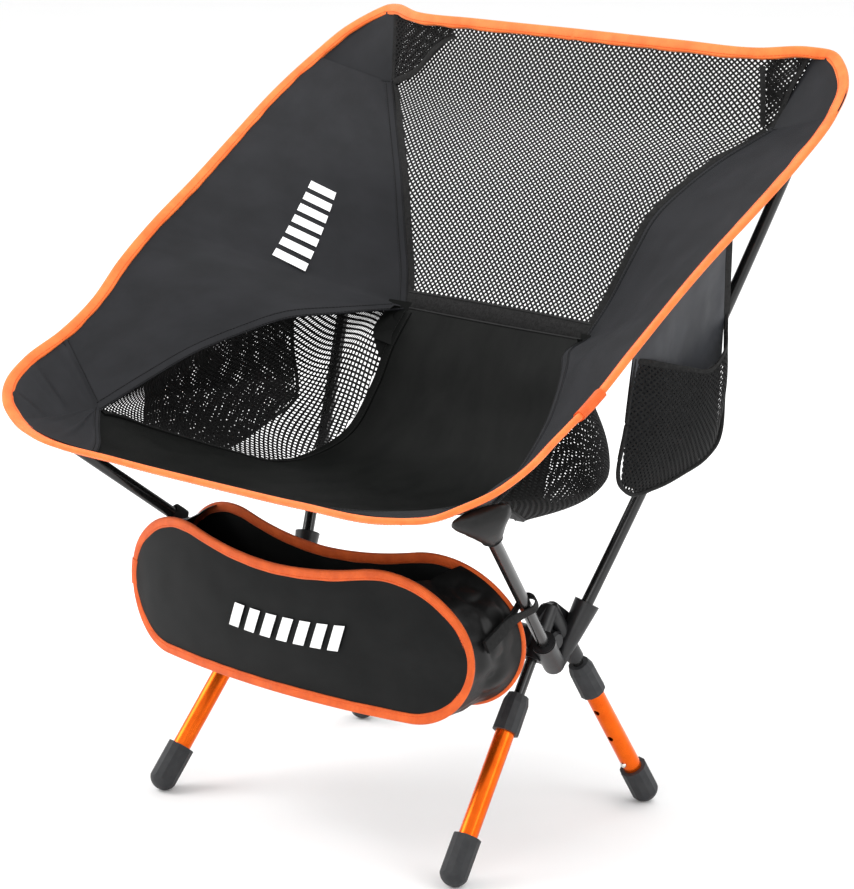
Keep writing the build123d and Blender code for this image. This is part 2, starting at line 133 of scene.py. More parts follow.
def grainBump(material, scale, strength, distance):
    where = addNode(material, "ShaderNodeTexCoord")
    grain = addNode(material, "ShaderNodeTexNoise", Scale=scale, Detail=3.0)
    bump = addNode(material, "ShaderNodeBump", Strength=strength, Distance=distance)
    join(material, where, "Object", grain, "Vector")
    join(material, grain, "Fac", bump, "Height")
    join(material, bump, "Normal", material.node_tree.nodes["Principled BSDF"], "Normal")


# warp and weft as crossed waves on the sheet's own map, which is in metres
def weaveBump(material, pitch, strength, distance):
    waveScale = math.pi / (10 * pitch)
    where = addNode(material, "ShaderNodeTexCoord")
    warp = addNode(material, "ShaderNodeTexWave", bands_direction="X", Scale=waveScale)
    weft = addNode(material, "ShaderNodeTexWave", bands_direction="Y", Scale=waveScale)
    slub = addNode(material, "ShaderNodeTexNoise", Scale=90.0, Detail=5.0)
    both = addNode(material, "ShaderNodeMath", operation="MAXIMUM")
    total = addNode(material, "ShaderNodeMath", operation="ADD")
    bump = addNode(material, "ShaderNodeBump", Strength=strength, Distance=distance)
    for wave in (warp, weft):
        join(material, where, "UV", wave, "Vector")
    join(material, where, "UV", slub, "Vector")
    join(material, warp, "Fac", both, 0)
    join(material, weft, "Fac", both, 1)
    join(material, both, "Value", total, 0)
    join(material, slub, "Fac", total, 1)
    join(material, total, "Value", bump, "Height")
    join(material, bump, "Normal", material.node_tree.nodes["Principled BSDF"], "Normal")


# fine ribs across a tape, on the tape's own map
def ribBump(material, pitch, strength, distance):
    where = addNode(material, "ShaderNodeTexCoord")
    ribs = addNode(
        material, "ShaderNodeTexWave", bands_direction="X", Scale=math.pi / (10 * pitch)
    )
    bump = addNode(material, "ShaderNodeBump", Strength=strength, Distance=distance)
    join(material, where, "UV", ribs, "Vector")
    join(material, ribs, "Fac", bump, "Height")
    join(material, bump, "Normal", material.node_tree.nodes["Principled BSDF"], "Normal")


# base colour, roughness and the rest of each finish, then its two tones and its relief
finishes = {
    "wing": {
        "name": "charcoalCloth", "look": ((0.017, 0.0175, 0.0195), 0.58), "gloss": 0.1,
        "tones": ((0.015, 0.0155, 0.0172), (0.0195, 0.020, 0.0225), 26, "UV"),
        "weave": (0.0009, 0.25, 0.0002),
    },
    "seat": {
        "name": "blackCloth", "look": ((0.0045, 0.0048, 0.0045), 0.55), "gloss": 0.07,
        "tones": ((0.0036, 0.0040, 0.0037), (0.006, 0.0064, 0.006), 26, "UV"),
        "weave": (0.0009, 0.25, 0.0002),
    },
    "satin": {
        "name": "greySatin", "look": ((0.05, 0.052, 0.058), 0.38), "gloss": 0.22,
        "tones": ((0.022, 0.0235, 0.027), (0.036, 0.038, 0.043), 30, "UV"),
        "weave": (0.0007, 0.2, 0.00015),
    },
    "glossy": {
        "name": "blackLining", "look": ((0.005, 0.005, 0.005), 0.36), "gloss": 0.2,
        "tones": ((0.004, 0.004, 0.004), (0.009, 0.009, 0.009), 40, "UV"),
        "weave": (0.0007, 0.2, 0.00015),
    },
    "bagCloth": {
        "name": "bagCloth", "look": ((0.007, 0.0074, 0.0074), 0.5), "gloss": 0.09,
        "tones": ((0.006, 0.0064, 0.0064), (0.009, 0.0094, 0.0094), 30, "UV"),
        "weave": (0.0007, 0.2, 0.00015),
    },
    "net": {
        "name": "blackNet", "look": ((0.005, 0.005, 0.005), 0.7), "gloss": 0.12,
        "tones": ((0.003, 0.003, 0.003), (0.008, 0.008, 0.008), 300), "grain": (2500, 0.5, 0.0002),
    },
    "webbing": {
        "name": "blackWebbing", "look": ((0.007, 0.007, 0.007), 0.7), "gloss": 0.15,
        "tones": ((0.004, 0.004, 0.004), (0.013, 0.013, 0.013), 420), "grain": (1300, 0.9, 0.0006),
    },
    "tape": {
        "name": "orangeTape", "look": ((0.88, 0.15, 0.028), 0.55), "sheen": 0.35, "gloss": 0.25,
        "sheenTint": (1.0, 0.72, 0.5, 1),
        "tones": ((0.83, 0.14, 0.024), (0.92, 0.19, 0.038), 60, "UV"),
        "ribs": (0.0011, 0.35, 0.0003),
    },
    "bagTape": {
        "name": "orangeBagTape", "look": ((0.66, 0.105, 0.018), 0.6), "sheen": 0.1, "gloss": 0.2,
        "tones": ((0.58, 0.085, 0.014), (0.72, 0.122, 0.021), 60, "UV"),
        "ribs": (0.0013, 0.6, 0.0005),
    },
    "orangeThread": {
        "name": "orangeThread", "look": ((0.66, 0.095, 0.018), 0.6), "gloss": 0.2,
        "tones": ((0.6, 0.08, 0.015), (0.72, 0.11, 0.022), 200),
    },
    "blackThread": {
        "name": "blackThread", "look": ((0.004, 0.004, 0.004), 0.6), "gloss": 0.2,
        "tones": ((0.003, 0.003, 0.003), (0.008, 0.008, 0.008), 200),
    },
    "blackTube": {
        "name": "blackAnodised", "look": ((0.006, 0.006, 0.007), 0.2),
        "tones": ((0.005, 0.005, 0.005), (0.008, 0.008, 0.008), 90), "grain": (700, 0.06, 0.0002),
    },
    "orangeTube": {
        "name": "orangeAnodised", "look": ((0.84, 0.125, 0.006), 0.26), "metallic": 0.85,
        "gloss": 0.3, "tones": ((0.80, 0.11, 0.005), (0.88, 0.14, 0.007), 70),
        "grain": (600, 0.05, 0.0002),
    },
    "hub": {
        "name": "hubNylon", "look": ((0.010, 0.010, 0.011), 0.36), "gloss": 0.4,
        "tones": ((0.008, 0.008, 0.009), (0.014, 0.014, 0.015), 120), "grain": (1500, 0.25, 0.0002),
    },
    "collar": {
        "name": "collarNylon", "look": ((0.026, 0.027, 0.029), 0.5), "gloss": 0.25,
        "tones": ((0.022, 0.023, 0.025), (0.031, 0.032, 0.034), 120), "grain": (1400, 0.3, 0.0002),
    },
    "steel": {
        "name": "brightSteel", "look": ((0.72, 0.71, 0.68), 0.22), "metallic": 1.0,
        "grain": (900, 0.08, 0.0001),
    },
    "alloy": {
        "name": "bareAlloy", "look": ((0.7, 0.7, 0.7), 0.35), "metallic": 1.0,
        "grain": (900, 0.08, 0.0001),
    },
    "cord": {
        "name": "blackElastic", "look": ((0.015, 0.015, 0.015), 0.8), "sheen": 0.2,
        "grain": (1600, 0.6, 0.0004),
    },
    "print": {
        "name": "whitePrint", "look": ((0.86, 0.86, 0.86), 0.5),
        "tones": ((0.80, 0.80, 0.80), (0.90, 0.90, 0.90), 80),
    },
    "floor": {
        "name": "paleFloor", "look": ((0.93, 0.93, 0.93), 0.7),
        "tones": ((0.925, 0.925, 0.925), (0.935, 0.935, 0.935), 3),
    },
}


def makeMaterial(values):
    extras = {key: values[key] for key in ("metallic", "sheen", "gloss") if key in values}
    material = newMaterial(values["name"], *values["look"], **extras)
    if "sheenTint" in values:
        shader = material.node_tree.nodes["Principled BSDF"]
        shader.inputs["Sheen Tint"].default_value = values["sheenTint"]
    for key, relief in (("tones", mottle), ("weave", weaveBump), ("ribs", ribBump),
                        ("grain", grainBump)):
        if key in values:
            relief(material, *values[key])
    return material


materials = {key: makeMaterial(values) for key, values in finishes.items()}
print("materials made")

bpy.ops.mesh.primitive_plane_add(size=14, location=(0, 0, -0.0005))
floor = bpy.context.object
floor.name = "floor"
floor.data.materials.append(materials["floor"])

# the hard pieces keep their shape and take their finish here
nodeFinish = [
    ("hub", "hub"), ("leg_collar", "collar"), ("foot", "collar"), ("leg_tube", "orangeTube"),
    ("snap_button", "steel"), ("button_spring", "steel"), ("ferrules", "alloy"),
    ("shock_cord", "cord"), ("pole_tips", "hub"), ("leg_bush", "hub"),
    ("pole", "blackTube"), ("crossbar", "blackTube"),
]
softNodes = ("panel", "mesh", "wing", "patches", "pockets", "pocket", "binding", "gusset", "straps")
for name, node in frame["nodes"].items():
    if any(word in name for word in softNodes):
        continue
    finish = next(value for word, value in nodeFinish if word in name)
    node.data.materials.clear()
    node.data.materials.append(materials[finish])
print("hard pieces finished")


# on the chair each leaf spring gives way under its button and the arm behind the button goes with
# it; here each spring under a button joint is only copied as a fixed piece in place of its part,
# which is hidden
for joint in frame["joints"]:
    if "button_press" not in joint["name"]:
        continue
    end, side = joint["name"].split("_")[0], joint["name"].split("_")[-1]
    source = frame["nodes"][f"{end}_button_spring_{side}"]
    leaf = source.copy()
    leaf.data = source.data.copy()
    leaf.name = end + "LeafSpring" + side.title()
    scene.collection.objects.link(leaf)
    leaf.parent = None
    leaf.matrix_world = source.matrix_world
    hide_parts(f"{end}_button_spring_{side}")
    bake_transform(leaf)
print("leaf springs made")


# the slopes just before and just after point k
def tangents(points, knots, k, sharp):
    if k == 0:
        slope = (points[1] - points[0]) / (knots[1] - knots[0])
        return slope, slope
    if k == len(points) - 1:
        slope = (points[k] - points[k - 1]) / (knots[k] - knots[k - 1])
        return slope, slope
    before = (points[k] - points[k - 1]) / (knots[k] - knots[k - 1])
    after = (points[k + 1] - points[k]) / (knots[k + 1] - knots[k])
    if k in sharp:
        return before, after
    share = (knots[k] - knots[k - 1]) / (knots[k + 1] - knots[k - 1])
    slope = before * (1 - share) + after * share
    return slope, slope


def smoothAt(points, knots, t, sharp=()):
    k = 0
    while k < len(knots) - 2 and t > knots[k + 1]:
        k += 1
    span = knots[k + 1] - knots[k]
    f = min(max((t - knots[k]) / span, 0), 1)
    start = tangents(points, knots, k, sharp)[1] * span
    end = tangents(points, knots, k + 1, sharp)[0] * span
    return (
        points[k] * (2 * f**3 - 3 * f**2 + 1)
        + start * (f**3 - 2 * f**2 + f)
        + points[k + 1] * (-2 * f**3 + 3 * f**2)
        + end * (f**3 - f**2)
    )


# stations are rows of points across a sheet. The rails run through them, along the sheet
def makeRails(stations, sharp=()):
    rows = [[Vector(p) for p in row] for row in stations]
    knots = [0.0]
    for before, after in zip(rows, rows[1:]):
        step = sum((b - a).length for a, b in zip(before, after)) / len(before)
        knots.append(knots[-1] + max(step, 0.5))
    return {"rails": list(zip(*rows)), "knots": knots, "length": knots[-1], "sharp": sharp}


def railsAt(rails, s):
    return [
        smoothAt(rail, rails["knots"], s, rails["sharp"] if number == 0 else ())
        for number, rail in enumerate(rails["rails"])
    ]


def mirrored(points):
    return [Vector((-p[0], p[1], p[2])) for p in points]


# a line and its ways inwards for the sitter's left, then for the right
def bothSides(line, ways):
    return [("Left", line, ways), ("Right", mirrored(line), mirrored(ways))]


# distances along a line, one for each of its points
def knotsAlong(line):
    knots = [0.0]
    for a, b in zip(line, line[1:]):
        knots.append(knots[-1] + (b - a).length)
    return knots


# points about one step apart on the smooth line through the given points
def evenly(points, step):
    line = [Vector(p) for p in points]
    knots = knotsAlong(line)
    count = max(int(knots[-1] / step), 2)
    return [smoothAt(line, knots, knots[-1] * n / count) for n in range(count + 1)]


def meshObject(name, points, faces, maps=None):
    data = bpy.data.meshes.new(name)
    data.from_pydata([p * mm for p in points], [], faces)
    if maps:
        layer = data.uv_layers.new(name="cloth")
        for loop in data.loops:
            layer.data[loop.index].uv = maps[loop.vertex_index]
    data.update()
    made = bpy.data.objects.new(name, data)
    scene.collection.objects.link(made)
    return made


def useOnly(piece):
    bpy.ops.object.select_all(action="DESELECT")
    piece.select_set(True)
    bpy.context.view_layer.objects.active = piece


# runs one edit-mode operator on the whole of a piece
def editAll(piece, operator):
    useOnly(piece)
    bpy.ops.object.mode_set(mode="EDIT")
    bpy.ops.mesh.select_all(action="SELECT")
    operator()
    bpy.ops.object.mode_set(mode="OBJECT")


# gives a flat sheet its cloth's thickness, in millimetres
def thicken(piece, thickness):
    useOnly(piece)
    solid = piece.modifiers.new("thickness", "SOLIDIFY")
    solid.thickness = thickness * mm
    solid.offset = 0
    bpy.ops.object.modifier_apply(modifier=solid.name)
    bpy.ops.object.shade_smooth_by_angle(angle=math.radians(50))


# finish, body and the node that the piece stands for
def settle(piece, material, body, slot, *nodes):
    piece.data.materials.clear()
    piece.data.materials.append(materials[material])
    if nodes:
        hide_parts(*nodes)
    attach(piece, body)
    return piece


# area of one side of a flat sheet before it gets its thickness
def pieceArea(piece):
    return sum(face.area for face in piece.data.polygons)


# a grid over place(u, v), pushed along its normals by ripple(u, v, point)
def makeSheet(name, place, along, across, size, ripple=None):
    points, maps, faces = [], [], []
    for i in range(along + 1):
        for j in range(across + 1):
            u, v = i / along, j / across
            points.append(place(u, v))
            maps.append((u * size[0] * mm, v * size[1] * mm))
    for i in range(along):
        for j in range(across):
            a = i * (across + 1) + j
            faces.append((a, a + across + 1, a + across + 2, a + 1))
    sheet = meshObject(name, points, faces, maps)
    if ripple:
        normals = [v.normal.copy() for v in sheet.data.vertices]
        for i in range(along + 1):
            for j in range(across + 1):
                vertex = sheet.data.vertices[i * (across + 1) + j]
                push = ripple(i / along, j / across, vertex.co / mm)
                vertex.co += normals[vertex.index] * push * mm
        sheet.data.update()
    return sheet


# open mesh: diamond cells with a hole in each, on place(s, x), in millimetres
def makeNet(name, place, length, widthAt, pitch=3.9, strand=1.75, thickness=0.5):
    half = pitch / math.sqrt(2)
    hole = 1 - strand / pitch
    points, faces, known = [], [], {}

    def clamp(s, x):
        s = min(max(s, 0), length)
        reach = widthAt(s) / 2
        return s, min(max(x, -reach), reach)

    def corner(a, b):
        if (a, b) not in known:
            known[(a, b)] = len(points)
            points.append(place(*clamp(a * half, b * half)))
        return known[(a, b)]

    rows = int(length / half) + 1
    reach = int(max(widthAt(length * n / 20) for n in range(21)) / half / 2) + 2
    for a in range(rows + 1):
        for b in range(-reach, reach + 1):
            if (a + b) % 2:
                continue
            s, x = a * half, b * half
            if s > length or abs(x) > widthAt(s) / 2:
                continue
            outer = [(a + 1, b), (a, b + 1), (a - 1, b), (a, b - 1)]
            ring = [corner(*c) for c in outer]
            inner = []
            for ca, cb in outer:
                spot = clamp(s + (ca - a) * half * hole, x + (cb - b) * half * hole)
                inner.append(len(points))
                points.append(place(*spot))
            for n in range(4):
                faces.append((ring[n], ring[(n + 1) % 4], inner[(n + 1) % 4], inner[n]))
    net = meshObject(name, points, faces)
    editAll(net, lambda: bpy.ops.mesh.dissolve_degenerate(threshold=0.00002))
    thicken(net, thickness)
    return net


# for each point of a line: the direction across it, towards inward, and the lift
def frames(line, inward, closed=False):
    found = []
    count = len(line)
    for n, point in enumerate(line):
        before = line[n - 1] if closed or n else line[0]
        after = line[(n + 1) % count] if closed or n < count - 1 else line[-1]
        tangent = (after - before).normalized()
        side = inward[n] - tangent * inward[n].dot(tangent)
        side.normalize()
        found.append((side, tangent.cross(side)))
    return found


# sweeps a closed profile of (across, lift) points along a line
def makeRibbon(name, line, inward, profile, closed=False, wander=0.0):
    directions = frames(line, inward, closed)
    points, maps, faces = [], [], []
    size = len(profile)
    run = 0.0
    for n, point in enumerate(line):
        if n:
            run += (point - line[n - 1]).length
        side, lift = directions[n]
        sway = 1 + wander * noise.noise(Vector((run * 0.05, 3.1, 0.7)))
        for k, (a, b) in enumerate(profile):
            points.append(point + side * a * sway + lift * b)
            maps.append((run * mm, k * 0.003))
    count = len(line)
    for n in range(count if closed else count - 1):
        here, there = n * size, ((n + 1) % count) * size
        for k in range(size):
            m = (k + 1) % size
            faces.append((here + k, here + m, there + m, there + k))
    if not closed:
        faces.append(tuple(range(size))[::-1])
        faces.append(tuple((count - 1) * size + k for k in range(size)))
    ribbon = meshObject(name, points, faces, maps)
    editAll(ribbon, lambda: bpy.ops.mesh.normals_make_consistent(inside=False))
    bpy.ops.object.shade_smooth_by_angle(angle=math.radians(50))
    return ribbon


# a row of short raised stitches beside a line
def makeStitches(name, line, inward, offset, lift, pitch=3.2, length=2.4, width=0.7):
    directions = frames(line, inward)
    points, faces = [], []
    run, nextAt = 0.0, pitch
    for n in range(1, len(line)):
        step = (line[n] - line[n - 1]).length
        while nextAt <= run + step and step > 0:
            f = (nextAt - run) / step
            side, high = directions[n]
            tangent = (line[n] - line[n - 1]).normalized()
            middle = line[n - 1].lerp(line[n], f) + side * offset + high * lift
            base = len(points)
            for end in (-1, 1):
                tip = middle + tangent * end * length / 2
                for a, b in ((-1, 0), (0, 1), (1, 0), (0, -1)):
                    points.append(tip + side * a * width / 2 + high * b * width / 2)
            for k in range(4):
                m = (k + 1) % 4
                faces.append((base + k, base + m, base + 4 + m, base + 4 + k))
            faces.append((base + 3, base + 2, base + 1, base))
            faces.append((base + 4, base + 5, base + 6, base + 7))
            nextAt += pitch
        run += step
    return meshObject(name, points, faces)


# joins meshes into one piece
def joinPieces(name, pieces):
    useOnly(pieces[0])
    for piece in pieces[1:]:
        piece.select_set(True)
    bpy.ops.object.join()
    pieces[0].name = name
    return pieces[0]


flatTape = [
    (-4, 0), (-3.7, 0.45), (0, 0.6), (3.7, 0.45), (4, 0), (3.7, -0.45), (0, -0.6), (-3.7, -0.45),
]


def tapeProfile(width, thickness):
    return [(a / 4 * width / 2, b / 0.6 * thickness / 2) for a, b in flatTape]


def roundProfile(radius, count=8):
    return [
        (radius * math.cos(2 * math.pi * k / count), radius * math.sin(2 * math.pi * k / count))
        for k in range(count)
    ]


# the sling's lines, for the sitter's left half
topEdge = [(0, 226, 664.4), (120, 226.5, 664), (195, 232, 663.5), (236, 250.5, 666)]
sideEdge = [
    (256, 258.5, 663), (274, 249, 653.5), (288, 233, 641.5), (299, 198, 618), (302.7, 148, 588.7),
    (300, 89, 553.5), (295.7, 31, 520), (294.8, -24, 487.5), (293, -68, 457.6),
    (288.6, -105, 429.4), (286, -147, 407.4), (288.6, -187, 390), (281, -217, 375.5),
    (262, -238, 363), (235, -249, 350.5),
]
frontEdge = [(203, -258, 346.7), (105, -254, 341), (0, -248, 338)]
halfEdge = topEdge + sideEdge + frontEdge

# each row runs from the inner seam to the outer edge
wingRows = [
    ((217.6, 220.8, 595), (299, 198, 618)),
    ((184.5, 189, 567.6), (302.7, 148, 588.7)),
    ((162.8, 168.8, 544), (301.5, 118, 571)),
    ((145, 153, 520), (300, 89, 553.5)),
    ((134.7, 144, 494.5), (298, 60, 537)),
    ((125.3, 136, 468.8), (295.7, 31, 520)),
    ((115.7, 128, 443.3), (295, 3, 503.5)),
    ((103.5, 112, 412), (294.8, -24, 487.5)),
    ((128, 56, 414), (294, -48, 471)),
    ((158, 15, 412), (293, -68, 457.6)),
    ((180, -20, 401), (291, -88, 443)),
    ((200, -58, 387), (288.6, -105, 429.4)),
    ((216, -105, 366), (287, -126, 418)),
    ((228, -156, 344.5), (286, -147, 407.4)),
]
frontPatchRows = [
    ((228, -156, 344.5), (286, -147, 407.4)),
    ((229.5, -170, 345), (287.8, -169, 397)),
    ((231.5, -190, 346.3), (288.6, -187, 390)),
    ((233, -210, 347.7), (281, -217, 375.5)),
    ((234, -228, 349), (262, -238, 363)),
    ((234.5, -240, 350), (241, -246, 353)),
]
rearPatchRows = [
    ((217.6, 220.8, 595), (299, 198, 618)),
    ((224, 230, 616), (295.5, 216, 630)),
    ((231, 239.5, 636), (288, 233, 641.5)),
    ((237, 248, 653), (274, 249, 653.5)),
    ((241, 252.5, 664), (256, 258.5, 663)),
]
# from the middle to the side
seatRows = [
    ((0, -248, 338), (235, -249, 350.5)),
    ((0, -228, 328), (234, -228, 348.8)),
    ((0, -200, 317), (232, -200, 346.5)),
    ((0, -160, 305), (228, -156, 344.5)),
    ((0, -112, 296), (210, -112, 325)),
    ((0, -60, 288), (177, -58, 300.5)),
    ((0, -15, 284), (149, -23, 287)),
    ((0, 18, 288), (140, 7, 286)),
    ((0, 45, 300), (120, 40, 303.5)),
    ((0, 74, 335), (110, 70, 346)),
    ((0, 94, 375), (107, 88, 381)),
    ((0, 113, 411), (103.5, 111, 411)),
]
backRows = [
    ((0, 113, 411), (103.5, 112, 412)),
    ((0, 130, 447), (115.7, 128, 443.3)),
    ((0, 141, 473), (125.3, 136, 468.8)),
    ((0, 151.5, 498), (134.7, 144, 494.5)),
    ((0, 161, 521), (145, 153, 520)),
    ((0, 171, 543), (162.8, 168.8, 544)),
    ((0, 181, 564), (184.5, 189, 567.6)),
    ((0, 195, 594), (217.6, 220.8, 595)),
    ((0, 212, 632), (230, 238, 634)),
    ((0, 226, 664.4), (241, 252.5, 664)),
]
# lower seam, fullest point, upper seam
cheekRows = [
    ((104, 101, 400), (109, 100, 406), (106, 106, 412)),
    ((110, 70, 346), (125, 74, 385), (113, 86, 413)),
    ((120, 40, 303.5), (164, 52, 352), (131, 52, 414)),
    ((140, 7, 286), (201, 14, 345), (158, 15, 412)),
    ((149, -23, 287), (223, -18, 338), (182, -24, 400)),
    ((177, -58, 300.5), (239, -56, 338), (200, -58, 387)),
    ((210, -112, 325), (236, -106, 341), (217, -108, 364.5)),
    ((227, -152, 343.5), (229, -152, 345), (228, -154, 346)),
]

wing = makeRails(wingRows, sharp=(7,))
frontPatch = makeRails(frontPatchRows)
rearPatch = makeRails(rearPatchRows)
seat = makeRails(seatRows)
back = makeRails(backRows)
cheek = makeRails(cheekRows)
halfLine = [Vector(p) for p in halfEdge]
edgeKnots = knotsAlong(halfLine)


# the edge's own line at a distance x from the middle, between two of its points
def edgeAtX(x, first, last):
    low, high = edgeKnots[first], edgeKnots[last]
    for _ in range(24):
        middle = (low + high) / 2
        wide = smoothAt(halfLine, edgeKnots, middle).x > x
        if wide == (halfLine[last].x > halfLine[first].x):
            high = middle
        else:
            low = middle
    return smoothAt(halfLine, edgeKnots, low)


# a point of a full-width panel, whose cross-section is a parabola over the middle
def acrossRow(rails, s, x):
    middle, side = railsAt(rails, s)
    share = x / side.x
    point = middle.lerp(side, share * share)
    point.x = x
    return point


def seatPlace(s, x):
    point = acrossRow(seat, s, x)
    pull = max(0, 1 - s / 45) ** 2
    if pull:
        edge = edgeAtX(min(abs(x), 234), len(halfLine) - 4, len(halfLine) - 1)
        base = acrossRow(seat, 0, x)
        point += Vector((0, edge.y - base.y, edge.z - base.z)) * pull
    return point


def backPlace(s, x):
    point = acrossRow(back, s, x)
    pull = max(0, 1 - (back["length"] - s) / 60) ** 2
    if pull:
        edge = edgeAtX(min(abs(x), 236), 0, 3)
        base = acrossRow(back, back["length"], x)
        point += Vector((0, edge.y - base.y, edge.z - base.z)) * pull
    return point


def wingPlace(s, x):
    inner, outer = railsAt(wing, s)
    return inner.lerp(outer, x)


def cheekPlace(s, v):
    low, full, high = railsAt(cheek, s)
    share = 1.15 - 0.6 * abs(v - 0.5)
    return low.lerp(high, v) + (full - low.lerp(high, 0.5)) * 4 * v * (1 - v) * share


# soft folds, drawn out along the direction with the smallest stretch
def ripples(size, height, seed, stretch=(1, 1, 1)):
    def push(u, v, point):
        spot = Vector((point.x * stretch[0], point.y * stretch[1], point.z * stretch[2])) / size
        rim = min(1, 7 * min(v, 1 - v)) * min(1, 12 * min(u, 1 - u))
        broad = noise.noise(spot + Vector((seed, 0, 0)))
        fine = noise.noise(spot * 2.7 + Vector((seed, 4, 1)))
        return height * (broad + 0.35 * fine) * rim
    return push


# makes a left piece and its mirror image on the right
def makeBothSides(name, make):
    left = make(name + "Left")
    useOnly(left)
    bpy.ops.object.duplicate()
    right = bpy.context.object
    right.name = name + "Right"
    for vertex in right.data.vertices:
        vertex.co.x = -vertex.co.x
    right.data.flip_normals()
    return left, right


# seat
seatSheet = {"along": 110, "across": 96, "thickness": 0.8, "foldSize": 70, "foldHeight": 2.2}


def seatPoint(u, v):
    s = 5 + u * (seat["length"] - 5)
    middle, side = railsAt(seat, s)
    return seatPlace(s, (2 * v - 1) * side.x)


seatPiece = makeSheet(
    "seatCloth", seatPoint, seatSheet["along"], seatSheet["across"], (seat["length"], 440),
    ripple=ripples(seatSheet["foldSize"], seatSheet["foldHeight"], 2.0, (1, 0.6, 0.6)),
)
thicken(seatPiece, seatSheet["thickness"])
settle(seatPiece, "seat", "frame", "seat_cloth", "seat_panel")
print("seat made")

# wings
wingSheet = {"along": 130, "across": 56, "thickness": 0.8, "foldSize": 85, "foldHeight": 2.4}
for side, piece in zip(("left", "right"), makeBothSides("wingCloth", lambda name: makeSheet(
    name, lambda u, v: wingPlace(u * wing["length"], 0.98 * v),
    wingSheet["along"], wingSheet["across"], (wing["length"], 150),
    ripple=ripples(wingSheet["foldSize"], wingSheet["foldHeight"], 7.0, (1, 0.5, 0.7)),
))):
    wingArea = pieceArea(piece)
    thicken(piece, wingSheet["thickness"])
    settle(piece, "wing", "frame", "wing_cloth", "wing_" + side)
print("wings made")


# open mesh of the back
def backWidth(s):
    return 2 * railsAt(back, s)[1].x


# the cut's area, less a part of what its holes take
def netArea(length, widthAt):
    whole = sum(widthAt(length * (n + 0.5) / 50) for n in range(50)) * length / 50 * mm * mm
    return whole * 0.85


backNet = makeNet("backNet", backPlace, back["length"], backWidth)
settle(backNet, "net", "frame", "mesh_cloth", "back_mesh")
netArea(back["length"], backWidth)
print("back mesh made")


# mesh cheeks
def cheekWidth(s):
    return knotsAlong([cheekPlace(s, n / 8) for n in range(9)])[-1]


for side, piece in zip(("left", "right"), makeBothSides("sideNet", lambda name: makeNet(
    name, lambda s, x: cheekPlace(s, x / max(cheekWidth(s), 1) + 0.5), cheek["length"], cheekWidth,
))):
    settle(piece, "net", "frame", "mesh_cloth", "side_mesh_" + side)
    netArea(cheek["length"], cheekWidth)

# a scrap of cloth closes each net where it runs out at the back
for piece in makeBothSides("netCorner", lambda name: makeSheet(
    name, lambda u, v: cheekPlace(u * 24, -0.12 + v * 1.24), 12, 12, (24, 14),
)):
    thicken(piece, 0.6)
    settle(piece, "seat", "frame", "seat_cloth")

cornerScrap = [Vector(p) for p in ((97, 115, 417), (96, 90, 380), (117, 80, 388), (117, 104, 420))]


def cornerScrapPoint(u, v):
    return cornerScrap[0].lerp(cornerScrap[1], u).lerp(cornerScrap[3].lerp(cornerScrap[2], u), v)


for piece in makeBothSides("seatScrap", lambda name: makeSheet(
    name, cornerScrapPoint, 10, 10, (38, 20), ripple=lambda u, v, point: -3 * math.sin(math.pi * u),
)):
    thicken(piece, 0.6)
    settle(piece, "seat", "frame", "seat_cloth")
print("side mesh made")

# reinforced corners
cornerSheet = {"along": 44, "across": 30, "thickness": 1.2, "lift": 1.3}


def frontPatchPoint(u, v):
    inner, outer = railsAt(frontPatch, u * frontPatch["length"])
    return inner.lerp(outer, 0.95 * v)


# pleats that fan out from the window's tip
def frontPleats(u, v, point):
    rim = min(1, 5 * (1 - v)) * min(1, 5 * (1 - u))
    fold = max(0, math.sin(u * 19.8 + 0.6)) ** 3 * math.sin(math.pi * v) * 2.2
    return (cornerSheet["lift"] + fold + 0.8 * noise.noise(point / 30)) * rim - 0.4


for piece in makeBothSides("frontPatch", lambda name: makeSheet(
    name, frontPatchPoint, cornerSheet["along"], cornerSheet["across"], (150, 70),
    ripple=frontPleats,
)):
    patchArea = pieceArea(piece)
    thicken(piece, cornerSheet["thickness"])
    settle(piece, "wing", "frame", "wing_cloth", "front_corner_patches")


# the patch runs on over the seat's front corner, as far as the window's tip
def seatCornerPoint(u, v):
    s = seat["knots"][3] * (0.07 + 0.92 * v)
    side = railsAt(seat, s)[1]
    reach = 100 * (1 - v) + 1
    point = seatPlace(s, side.x + 2 - reach * (1 - u))
    pleat = max(0, math.sin(u * 15 + 0.8)) ** 4 * math.sin(math.pi * v) * 1.6
    return point + Vector((0, 0, 1.5 + pleat))


for piece in makeBothSides("seatCorner", lambda name: makeSheet(
    name, seatCornerPoint, 30, 30, (60, 90),
)):
    thicken(piece, 0.8)
    settle(piece, "wing", "frame", "wing_cloth")


def rearPatchPoint(u, v):
    inner, outer = railsAt(rearPatch, u * rearPatch["length"])
    point = inner.lerp(outer, v)
    sag = (1 - u) ** 2 * math.sin(math.pi * v) * 9        # the lower hem hangs in a curve
    return point + Vector((0, -0.35, -0.9)) * sag


# the pole's end pushes the corner out from behind
def rearSwell(u, v, point):
    near = (point - Vector((254, 240, 636))).length
    rim = min(1, 5 * (1 - v)) * min(1, 6 * (1 - u) + 0.05)
    push = cornerSheet["lift"] + 1.5 * math.exp(-(near / 24) ** 2)
    return rim * (push - 0.7 * noise.noise(point / 26))


for piece in makeBothSides("rearPatch", lambda name: makeSheet(
    name, rearPatchPoint, cornerSheet["along"], cornerSheet["across"], (75, 80),
    ripple=rearSwell,
)):
    patchArea = pieceArea(piece)
    thicken(piece, cornerSheet["thickness"])
    settle(piece, "wing", "frame", "wing_cloth", "rear_corner_patches")

